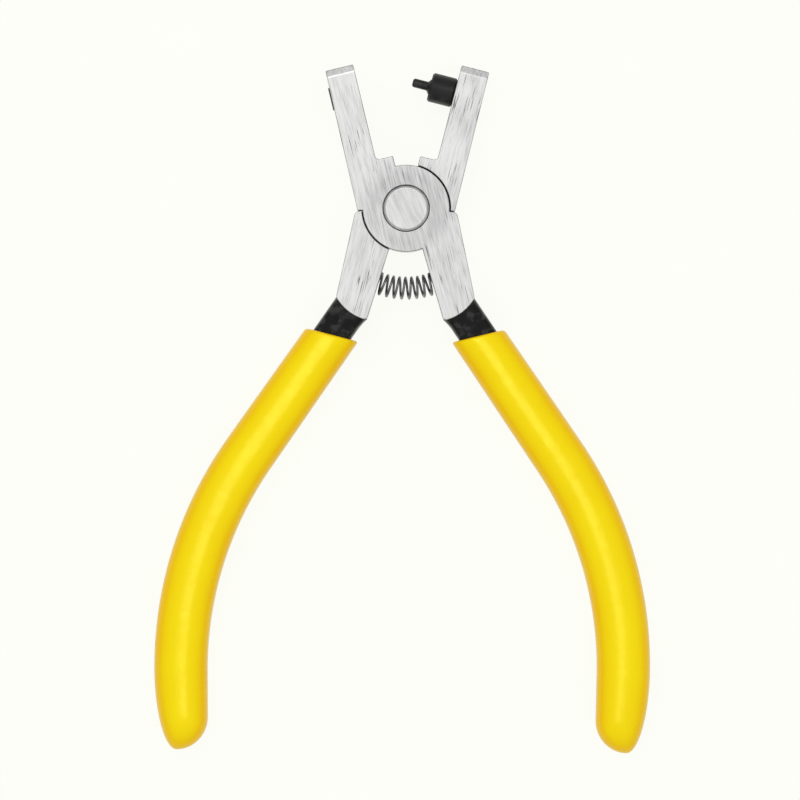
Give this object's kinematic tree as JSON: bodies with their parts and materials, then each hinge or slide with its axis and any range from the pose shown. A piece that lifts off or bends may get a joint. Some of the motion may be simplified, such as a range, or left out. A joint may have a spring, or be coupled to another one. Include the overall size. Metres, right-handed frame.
{
  "type": "setting pliers",
  "caption": "Small open-jaw lap-joint pliers with a pin punch on one jaw, a die bush in the other, a return spring and dipped grips.",
  "frame": {"origin": "on the pivot axis, at the back face that the tool lies on", "axes": "+Y towards the jaws, +X to the right, +Z out of the front face along the pivot axis"},
  "size_m": [0.0996, 0.1376, 0.009],
  "materials": {
    "ground_steel": "ground lengthwise, satin",
    "rivet_steel": "ground flush, satin",
    "spring_steel": "dark drawn wire",
    "black_oxide": "black oxide, low sheen",
    "yellow_vinyl": "dipped, glossy"
  },
  "bodies": {
    "rear_half": {"rear_lever": "ground_steel", "pivot_rivet": "rivet_steel", "return_spring": "spring_steel", "left_grip": "yellow_vinyl", "punch_holder": "black_oxide", "punch_pin": "black_oxide"},
    "front_half": {"front_lever": "ground_steel", "right_grip": "yellow_vinyl", "die_bush": "black_oxide"}
  },
  "joints": [
    {"name": "pivot", "type": "hinge", "parent": "rear_half", "child": "front_half", "pos_m": [0, 0, 0.0045], "axis": [0, 0, -1], "range_deg": [0, 27.4], "stiffness_Nm_per_rad": 0.26, "springref_deg": -17.19, "deforming": ["return_spring"]}
  ]
}
